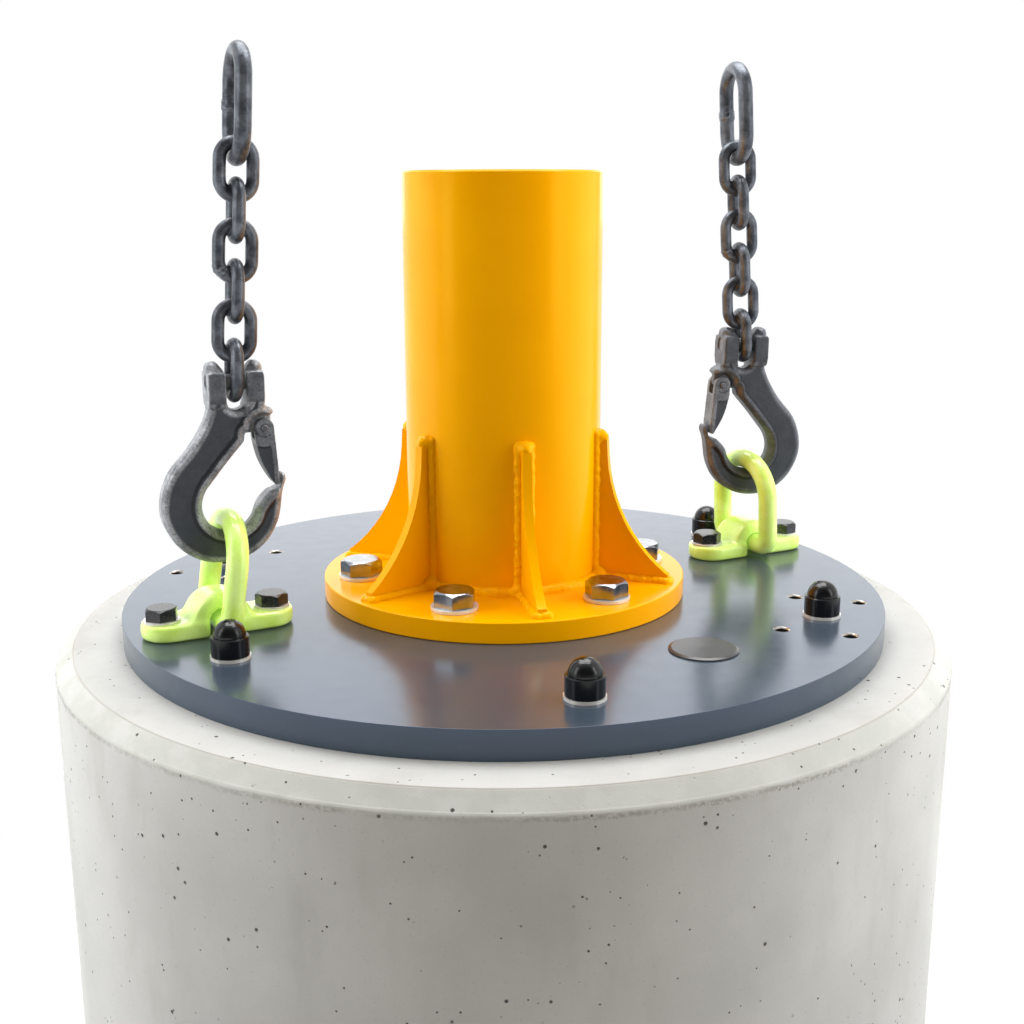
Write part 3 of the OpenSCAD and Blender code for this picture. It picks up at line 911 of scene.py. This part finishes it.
    def ring_drops(self, foot: float) -> list[Drop]:
        """The drops of the weld round the mast's foot.

        Args:
            foot: The height of the flange's top.

        Returns:
            Centre and radius of each drop.
        """
        draw = random.Random(self.ring_seed)
        count = round(2 * math.pi * self.mast_radius / self.ring_bead_pitch)
        drops = []
        for i in range(count):
            turn = 2 * math.pi * i / count
            shift = draw.uniform(-self.ring_bead_shift, self.ring_bead_shift)
            reach = self.mast_radius - self.ring_bite + shift
            centre = Vector((math.cos(turn) * reach, math.sin(turn) * reach, foot - self.ring_drop))
            drops.append((centre, self.ring_bead_radius * draw.uniform(*self.ring_bead_sizes)))
        return drops

    def drop_piece(self, name: str, drops: Sequence[Drop]) -> Piece:
        """Lay small balls of metal into one mesh.

        Args:
            name: The piece's name.
            drops: Centre and radius of each ball.

        Returns:
            The piece.
        """
        bpy.ops.object.select_all(action="DESELECT")
        centre, radius = drops[0]
        bpy.ops.mesh.primitive_ico_sphere_add(subdivisions=2, radius=radius, location=(0, 0, 0))
        piece = bpy.context.active_object
        piece.name = name
        ball = piece.data.copy()
        bpy.ops.object.mode_set(mode="EDIT")
        mesh = bmesh.from_edit_mesh(piece.data)
        bmesh.ops.translate(mesh, verts=mesh.verts, vec=centre)
        for place, size in drops[1:]:
            before = len(mesh.verts)
            mesh.from_mesh(ball)
            mesh.verts.ensure_lookup_table()
            for point in mesh.verts[before:]:
                point.co = point.co * (size / radius) + place
        bmesh.update_edit_mesh(piece.data)
        bpy.ops.object.mode_set(mode="OBJECT")
        return piece


# ---- lifting gear


class Side(Enum):
    """The two lifting points."""

    LEFT = "left"
    RIGHT = "right"


@dataclass
class LiftingPoint:
    """A cast bracket on two bolts, with its swinging ring."""

    shop: Workshop
    side: Side
    grid: float = 0.0015
    passes: int = 60
    bolt_edge: float = 0.0006
    washer_edge: float = 0.0004

    def build(self) -> None:
        """Make the bracket and dress its bolts and ring."""
        name = self.side.value
        bracket = self.shop.merged_copy(f"{name}_lifting_bracket", f"{name}_bracket_cast")
        remesh_and_smooth(bracket, self.grid, self.passes)
        self.shop.finish_piece(bracket, "base", LIFTING_LIME, "lime_paint", f"{name}_lifting_bracket")
        self.shop.eased_copy(f"{name}_bracket_bolts", "base", BOLT_BLACK, "black_steel", self.bolt_edge)
        self.shop.eased_copy(f"{name}_bracket_washers", "base", WASHER_ZINC, "zinc", self.washer_edge)
        self.shop.dress(f"{name}_lifting_ring", LIFTING_LIME)


@dataclass
class ForgedHook:
    """A forged clevis hook: flat webs sunk between raised rims, with bevelled outlines.

    The direction across its webs and the middle plane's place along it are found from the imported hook.
    """

    shop: Workshop
    side: Side
    across: Vector = field(default_factory=Vector)
    middle: float = 0.0
    grid: float = 0.0011
    passes: int = 4
    half_web: float = 0.015
    outer_half: float = 0.0070
    outer_run: float = 0.0072
    outer_curve: float = 0.8
    inner_half: float = 0.0085
    bead_run: float = 0.0050
    bead_end: float = 0.0085
    web_start: float = 0.0110
    web_facing: float = 0.999
    sink: float = 0.0028
    groove_run: float = 0.0015
    wall_wear: float = 0.68
    rim_wear: float = 0.9
    bead_wear: float = 0.75
    ear_wear: float = 0.25
    boss_wear: float = 0.5
    rubbed_facing: float = 0.97
    rubbed_range: float = 0.17
    rim_margin: float = 0.001
    rim_gain: float = 3
    face_margin: float = 0.0012
    wall_half: float = 0.012
    wall_tilt: float = 0.25
    ear_run: float = 0.0120
    eye_height: float = 0.335
    latch_grid: float = 0.0008
    latch_passes: int = 2
    latch_strip: float = 0.0050
    latch_sink: float = 0.0013
    latch_slope: float = 0.0012
    latch_skin: float = 0.0004
    boss_radius: float = 0.0068
    rivet_radius: float = 0.0035
    rivet_depth: float = 0.0030
    rivet_round: float = 0.45
    rivet_proud: float = 0.2

    def outer_height(self, reach: float) -> float:
        """Half the hook's thickness at a distance from its outer outline."""
        share = min(1.0, reach / self.outer_run)
        return self.outer_half + (self.half_web - self.outer_half) * share**self.outer_curve

    def inner_height(self, reach: float) -> float:
        """Half the hook's thickness at a distance from the eye: a round bead, then the sunk web.

        Args:
            reach: The distance from the eye's edge.

        Returns:
            Half the thickness there.
        """
        if reach < self.bead_run:
            share = math.sin(math.pi / 2 * reach / self.bead_run)
            return self.inner_half + (self.half_web - self.inner_half) * share
        if reach < self.bead_end:
            return self.half_web
        share = min(1.0, (reach - self.bead_end) / (self.web_start - self.bead_end))
        return self.half_web - self.sink * share * share * (3 - 2 * share)

    def height(self, place: Vector) -> float:
        """How far a place lies from the hook's middle plane."""
        return place.dot(self.across) - self.middle

    def flat(self, place: Vector) -> Vector:
        """The place with its part across the webs left out."""
        return place - self.across * place.dot(self.across)

    def find_plane(self, piece: Piece) -> None:
        """Find the direction across the hook's flat webs, and the plane half-way between them.

        Args:
            piece: The merged copy of the hook.
        """
        tally: dict[tuple[float, float, float], float] = {}
        for face in piece.data.polygons:
            way = face.normal if face.normal.y > 0 else -face.normal
            key = (round(way.x, 3), round(way.y, 3), round(way.z, 3))
            tally[key] = tally.get(key, 0.0) + face.area
        self.across = Vector(max(tally, key=tally.get)).normalized()
        planes: dict[float, float] = {}
        for face in piece.data.polygons:
            if abs(face.normal.dot(self.across)) > self.web_facing:
                place = round(face.center.dot(self.across), 4)
                planes[place] = planes.get(place, 0.0) + face.area
        self.middle = sum(sorted(planes, key=planes.get)[-2:]) / 2

    def build(self) -> None:
        """Make the hook and dress its pins."""
        name = self.side.value
        hook = self.shop.merged_copy(f"{name}_hook", f"{name}_hook_forged")
        self.find_plane(hook)
        modify(hook, "REMESH", mode="VOXEL", voxel_size=self.grid)
        inner, outer = self.press(hook)
        remesh_and_smooth(hook, self.grid, self.passes)
        self.mark_wear(hook, inner, outer)
        # The left hook wears the lit copy of the steel and the right hook the shaded copy: painted light and
        # shade.
        steel = LIT_WORN_HOOK_STEEL if self.side is Side.LEFT else SHADED_WORN_HOOK_STEEL
        self.shop.finish_piece(hook, f"{name}_hook_body", steel, "forged_steel", f"{name}_hook")
        self.shop.dress(f"{name}_hook_pins", PIN_STEEL)
        self.forge_latch()

    def forge_latch(self) -> None:
        """Make the latch: a raised strip along its back and a round boss at its pin."""
        name = self.side.value
        latch = self.shop.merged_copy(f"{name}_latch", f"{name}_latch_forged")
        modify(latch, "REMESH", mode="VOXEL", voxel_size=self.latch_grid)
        points = latch.data.vertices
        heights = [p.co.dot(self.across) for p in points]
        middle, half = (max(heights) + min(heights)) / 2, (max(heights) - min(heights)) / 2
        pins = [v.co for v in self.shop.nodes[f"{name}_hook_pins"].data.vertices]
        split = (max(p.z for p in pins) + min(p.z for p in pins)) / 2
        lower = [p for p in pins if p.z < split]
        pin = self.flat(sum(lower, Vector()) / len(lower))
        eye = self.eye()
        walls = [p for p in points if abs(p.normal.dot(self.across)) < self.wall_tilt]
        back = self.wall_tree([p for p in walls if p.normal.dot(eye - p.co) < 0])
        for point in points:
            height = point.co.dot(self.across) - middle
            flat = self.flat(point.co)
            away = min(back.find(flat)[2] - self.latch_strip, (flat - pin).length - self.boss_radius)
            share = min(1.0, max(0.0, away / self.latch_slope))
            if abs(height) > half - self.latch_skin:
                point.co -= self.across * math.copysign(self.latch_sink * share, height)
        remesh_and_smooth(latch, self.latch_grid, self.latch_passes)
        wear = latch.data.attributes.new("wear", "FLOAT", "POINT")
        for point in latch.data.vertices:
            flat = self.flat(point.co)
            strip = self.bead_wear if back.find(flat)[2] < self.latch_strip else 0.0
            boss = self.boss_wear if (flat - pin).length < self.boss_radius else 0.0
            wear.data[point.index].value = max(strip, boss)
        self.shop.finish_piece(latch, f"{name}_latch_body", LATCH_STEEL, "forged_steel", f"{name}_latch")
        self.rivet_heads(pin + self.across * middle, half)

    def rivet_heads(self, centre: Vector, half: float) -> None:
        """Round off both ends of the latch pin.

        Args:
            centre: The middle of the pin.
            half: Half the latch's width.
        """
        heads = []
        for way in (self.across, -self.across):
            bpy.ops.object.select_all(action="DESELECT")
            bpy.ops.mesh.primitive_cylinder_add(vertices=32, radius=self.rivet_radius, depth=self.rivet_depth)
            head = bpy.context.active_object
            tidy_normals(head)
            modify(head, "BEVEL", width=self.rivet_depth * self.rivet_round, segments=4, limit_method="ANGLE")
            place = Matrix.Translation(centre + way * (half + self.rivet_depth * self.rivet_proud))
            head.data.transform(place @ way.to_track_quat("Z", "Y").to_matrix().to_4x4())
            heads.append(head)
        make_active(*heads)
        bpy.ops.object.join()
        heads[0].name = f"{self.side.value}_latch_rivet"
        smooth_by_angle(heads[0])
        self.shop.finish_piece(heads[0], f"{self.side.value}_hook_body", PIN_STEEL, "forged_steel")

    def eye(self) -> Vector:
        """Find the hook's opening.

        Returns:
            A point in its middle.
        """
        low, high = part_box(f"{self.side.value}_hook")
        eye = (low + high) / 2
        eye.z = low.z + (high.z - low.z) * self.eye_height
        return eye

    def press(self, hook: Piece) -> tuple[KDTree, KDTree]:
        """Press the webs between the rims, bevel the outline and taper the ears' faces into the webs.

        Args:
            hook: The evenly meshed hook.

        Returns:
            The points round the eye and the points of the outer outline.
        """
        points = hook.data.vertices
        eye = self.eye()
        walls = [p for p in points if abs(p.normal.dot(self.across)) < self.wall_tilt]
        walls = [p for p in walls if abs(self.height(p.co)) < self.wall_half]
        inner = self.wall_tree([p for p in walls if p.normal.dot(eye - p.co) > 0])
        outer = self.wall_tree([p for p in walls if p.normal.dot(eye - p.co) <= 0])
        web_face = self.half_web + self.face_margin
        ear_foot = min(p.co.z for p in points if abs(self.height(p.co)) > web_face)
        for point in points:
            height = self.height(point.co)
            if abs(height) > web_face:
                share = min(1.0, (point.co.z - ear_foot) / self.ear_run)
                limit = self.half_web + (abs(height) - self.half_web) * share * share * (3 - 2 * share)
            else:
                flat = self.flat(point.co)
                limit = min(self.inner_height(inner.find(flat)[2]), self.outer_height(outer.find(flat)[2]))
            if abs(height) > limit:
                point.co += self.across * (math.copysign(limit, height) - height)
        return inner, outer

    def wall_tree(self, walls: Sequence[bpy.types.MeshVertex]) -> KDTree:
        """Sort wall points for quick distance questions.

        Args:
            walls: Points on side walls. Their place across the webs is left out.

        Returns:
            The sorted points.
        """
        tree = KDTree(len(walls))
        for i, wall in enumerate(walls):
            tree.insert(self.flat(wall.co), i)
        tree.balance()
        return tree

    def mark_wear(self, hook: Piece, inner: KDTree, outer: KDTree) -> None:
        """Note on every point how far the scale is rubbed bright there, or -1 in the groove by the web.

        Args:
            hook: The finished hook mesh.
            inner: The points round the eye.
            outer: The points of the outer outline.
        """
        wear = hook.data.attributes.new("wear", "FLOAT", "POINT")
        for point in hook.data.vertices:
            flat = self.flat(point.co)
            facing = abs(point.normal.dot(self.across))
            side = min(1.0, max(0.0, (self.rubbed_facing - facing) / self.rubbed_range)) * self.wall_wear
            rim = max(0.0, 1 - outer.find(flat)[2] / (self.outer_run + self.rim_margin))
            reach = inner.find(flat)[2]
            bead = self.bead_wear if reach < self.bead_end else 0.0
            zone = max(min(1.0, rim * self.rim_gain) * self.rim_wear, bead)
            if abs(self.height(point.co)) > self.half_web + self.face_margin:
                zone = self.ear_wear
            in_groove = zone == 0.0 and reach < self.web_start + self.groove_run
            wear.data[point.index].value = -1.0 if in_groove else max(side, zone)


@dataclass
class LoadChain:
    """The taut chain over a hook, with a weld swelling on each link."""

    shop: Workshop
    side: Side
    grid: float = 0.0013
    passes: int = 2
    swell: float = 0.0016
    swell_run: float = 0.0055
    swell_side: float = 0.3
    swell_curve: float = 0.4
    swell_least: float = 0.7
    ripple: float = 0.6
    ripple_per_metre: float = 260

    def build(self) -> None:
        """Make the links and dress the end link."""
        name = self.side.value
        for part in ("chain", "end_link"):
            links = self.shop.merged_copy(f"{name}_{part}", f"{name}_{part}_welded")
            remesh_and_smooth(links, self.grid, self.passes)
            self.swell_links(links)
            self.shop.finish_piece(links, f"{name}_chain_body", CHAIN_STEEL, "forged_steel", f"{name}_{part}")

    def swell_links(self, links: Piece) -> None:
        """Swell one leg of every link where it was welded shut.

        Args:
            links: The links, as one evenly meshed piece.
        """
        make_active(links)
        mesh = bmesh.new()
        mesh.from_mesh(links.data)
        left = dict.fromkeys(mesh.verts)
        while left:
            start = next(iter(left))
            del left[start]
            island = [start]
            front = [start]
            while front:
                point = front.pop()
                for edge in point.link_edges:
                    other = edge.other_vert(point)
                    if other in left:
                        del left[other]
                        island.append(other)
                        front.append(other)
            self.swell_island(island)
        mesh.to_mesh(links.data)
        mesh.free()

    def swell_island(self, island: Sequence[bmesh.types.BMVert]) -> None:
        """Swell one link.

        Args:
            island: The link's points.
        """
        middle = sum((p.co for p in island), Vector()) / len(island)
        along = max((p.co - middle for p in island), key=lambda way: way.length).normalized()
        if along.z < 0:
            along = -along
        spread = [(p.co - middle) - along * (p.co - middle).dot(along) for p in island]
        sideways = max(spread, key=lambda way: way.length).normalized()
        half = max(way.dot(sideways) for way in spread)
        for point in island:
            offset = point.co - middle
            run = abs(offset.dot(along))
            if run < self.swell_run and offset.dot(sideways) > half * self.swell_side:
                lift = math.cos(math.pi / 2 * run / self.swell_run) ** self.swell_curve
                share = self.swell_least + self.ripple * noise.noise(point.co * self.ripple_per_metre)
                point.co += point.normal * self.swell * lift * share


# ---- studio


@dataclass(frozen=True)
class Softbox:
    """A large soft lamp that looks at the mast's foot.

    Its place is given to the camera's right of the mast, behind the mast and over the floor.
    """

    name: str
    place: Sequence[float]
    width: float
    tall: float
    power: float
    colour: str = "FFFFFF"
    mirrored: bool = True

    def hang(self, heading: float, aim: Vector) -> None:
        """Add the lamp to the scene.

        Args:
            heading: The camera's heading in degrees.
            aim: The place it looks at.
        """
        place = Matrix.Rotation(math.radians(heading), 4, "Z") @ Vector(self.place)
        data = bpy.data.lights.new(self.name, "AREA")
        data.shape = "RECTANGLE"
        data.size = self.width
        data.size_y = self.tall
        data.energy = self.power
        data.color = hue(self.colour)[:3]
        lamp = bpy.data.objects.new(self.name, data)
        lamp.visible_camera = False
        lamp.visible_glossy = self.mirrored
        turn = (aim - place).to_track_quat("-Z", "Y").to_matrix().to_4x4()
        lamp.matrix_world = Matrix.Translation(place) @ turn
        bpy.context.scene.collection.objects.link(lamp)


LAMPS = (
    Softbox("left_softbox", (-2.2, 0.05, 1.5), 2.2, 2.2, 84, mirrored=False),
    Softbox("right_softbox", (2.2, 0.05, 1.5), 2.2, 2.2, 84, mirrored=False),
    Softbox("left_strip", (-1.7, -0.9, 1.6), 0.5, 1.6, 7),
    Softbox("right_strip", (1.7, -0.9, 1.6), 0.5, 1.6, 7),
    Softbox("top_softbox", (0.0, 0.5, 3.0), 2.2, 1.6, 68),
    Softbox("back_softbox", (0.0, 2.8, 1.75), 4.2, 1.3, 16),
    Softbox("front_fill", (0.3, -2.4, 1.5), 1.4, 1.2, 9, "FFECD2", mirrored=False),
)


@dataclass
class Studio:
    """The camera, the lamps, the pale surround and the floor."""

    camera_place: Sequence[float] = (0.4754, -1.4327, 1.2285)
    heading: float = 18.0
    pitch: float = 13.38
    roll: float = -0.154
    lens: float = 47.44
    sensor: float = 36
    nearest: float = 0.02
    aim: Sequence[float] = (0.0, 0.0, 0.86)
    surround_light: float = 0.18
    floor_width: float = 40
    floor_height: float = -0.0005
    floor_grey: float = 0.54
    floor_glow: float = 0.10
    bounce_grey: float = 0.45
    grey_to: float = 0.65
    white_from: float = 1.35

    def build(self) -> None:
        """Set the scene up."""
        bpy.context.scene.view_settings.view_transform = "Standard"
        self.place_camera()
        for lamp in LAMPS:
            lamp.hang(self.heading, Vector(self.aim))
        self.surround()
        self.floor()

    def place_camera(self) -> None:
        """Put the camera at its place and turn it along its heading."""
        heading, pitch = math.radians(self.heading), math.radians(self.pitch)
        level = math.cos(pitch)
        way = Vector((-math.sin(heading) * level, math.cos(heading) * level, -math.sin(pitch)))
        data = bpy.data.cameras.new("camera")
        data.lens = self.lens
        data.sensor_width = self.sensor
        data.clip_start = self.nearest
        camera = bpy.data.objects.new("camera", data)
        roll = Matrix.Rotation(math.radians(self.roll), 4, "Z")
        turn = way.to_track_quat("-Z", "Y").to_matrix().to_4x4() @ roll
        camera.matrix_world = Matrix.Translation(self.camera_place) @ turn
        bpy.context.scene.collection.objects.link(camera)
        bpy.context.scene.camera = camera

    def surround(self) -> None:
        """Write a white world for what is seen, and a softer one for what it lights."""
        world = bpy.data.worlds.new("studio_world")
        bpy.context.scene.world = world
        sheet = ShaderSheet(world)
        glossy = sheet.ray("Glossy")
        seen = sheet.ray("Camera").greatest(sheet.ray("Transmission"))
        way = sheet.node("ShaderNodeTexCoord", output="Generated")
        straight = (0, 0, -math.radians(self.heading))
        turned = sheet.node("ShaderNodeMapping", feeds={"Vector": way, "Rotation": straight})
        back = sheet.node("ShaderNodeSeparateXYZ", feeds={0: turned}, output="Y")
        mirrored = back.rise(-0.75, 0.25, 0.10, 1.0)
        level = seen + (1 - seen) * (glossy * mirrored + (1 - glossy) * self.surround_light)
        light = sheet.node("ShaderNodeBackground", feeds={"Color": "FFFFFF", "Strength": level})
        sheet.node("ShaderNodeOutputWorld", feeds={"Surface": light})

    def floor(self) -> None:
        """Lay a white floor that still keeps the shadow."""
        bpy.ops.object.select_all(action="DESELECT")
        bpy.ops.mesh.primitive_plane_add(size=self.floor_width, location=(0, 0, self.floor_height))
        floor = bpy.context.active_object
        floor.name = "studio_floor"
        material = bpy.data.materials.new("studio_floor_white")
        sheet = ShaderSheet(material)
        seen = sheet.ray("Camera").greatest(sheet.ray("Glossy")).greatest(sheet.ray("Transmission"))
        plain = sheet.node("ShaderNodeBsdfDiffuse", feeds={"Color": [self.floor_grey] * 3 + [1]})
        glow = sheet.node("ShaderNodeEmission", feeds={"Color": "FFFFFF", "Strength": self.floor_glow})
        near = sheet.node("ShaderNodeAddShader", feeds={0: plain, 1: glow})
        white = sheet.node("ShaderNodeEmission", feeds={"Color": "FFFFFF", "Strength": 1.0})
        fade = sheet.distance(sheet.own).rise(self.grey_to, self.white_from)
        both = sheet.node("ShaderNodeMixShader", feeds={0: fade, 1: near, 2: white})
        bounce = sheet.node("ShaderNodeBsdfDiffuse", feeds={"Color": [self.bounce_grey] * 3 + [1]})
        mixed = sheet.node("ShaderNodeMixShader", feeds={0: seen, 1: bounce, 2: both})
        sheet.node("ShaderNodeOutputMaterial", feeds={"Surface": mixed})
        floor.data.materials.append(material)


# ---- the whole


def main() -> None:
    """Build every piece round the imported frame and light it."""
    logging.basicConfig(level=logging.INFO, format="%(name)s: %(message)s")
    for start_object in list(bpy.data.objects):
        bpy.data.objects.remove(start_object)
    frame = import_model()
    shop = Workshop(frame["nodes"])
    Studio().build()
    BallastBlock(shop).build()
    GroundPlate(shop).build()
    MastFoot(shop).build()
    for side in Side:
        LiftingPoint(shop, side).build()
        ForgedHook(shop, side).build()
        LoadChain(shop, side).build()


if __name__ == "__main__":
    main()
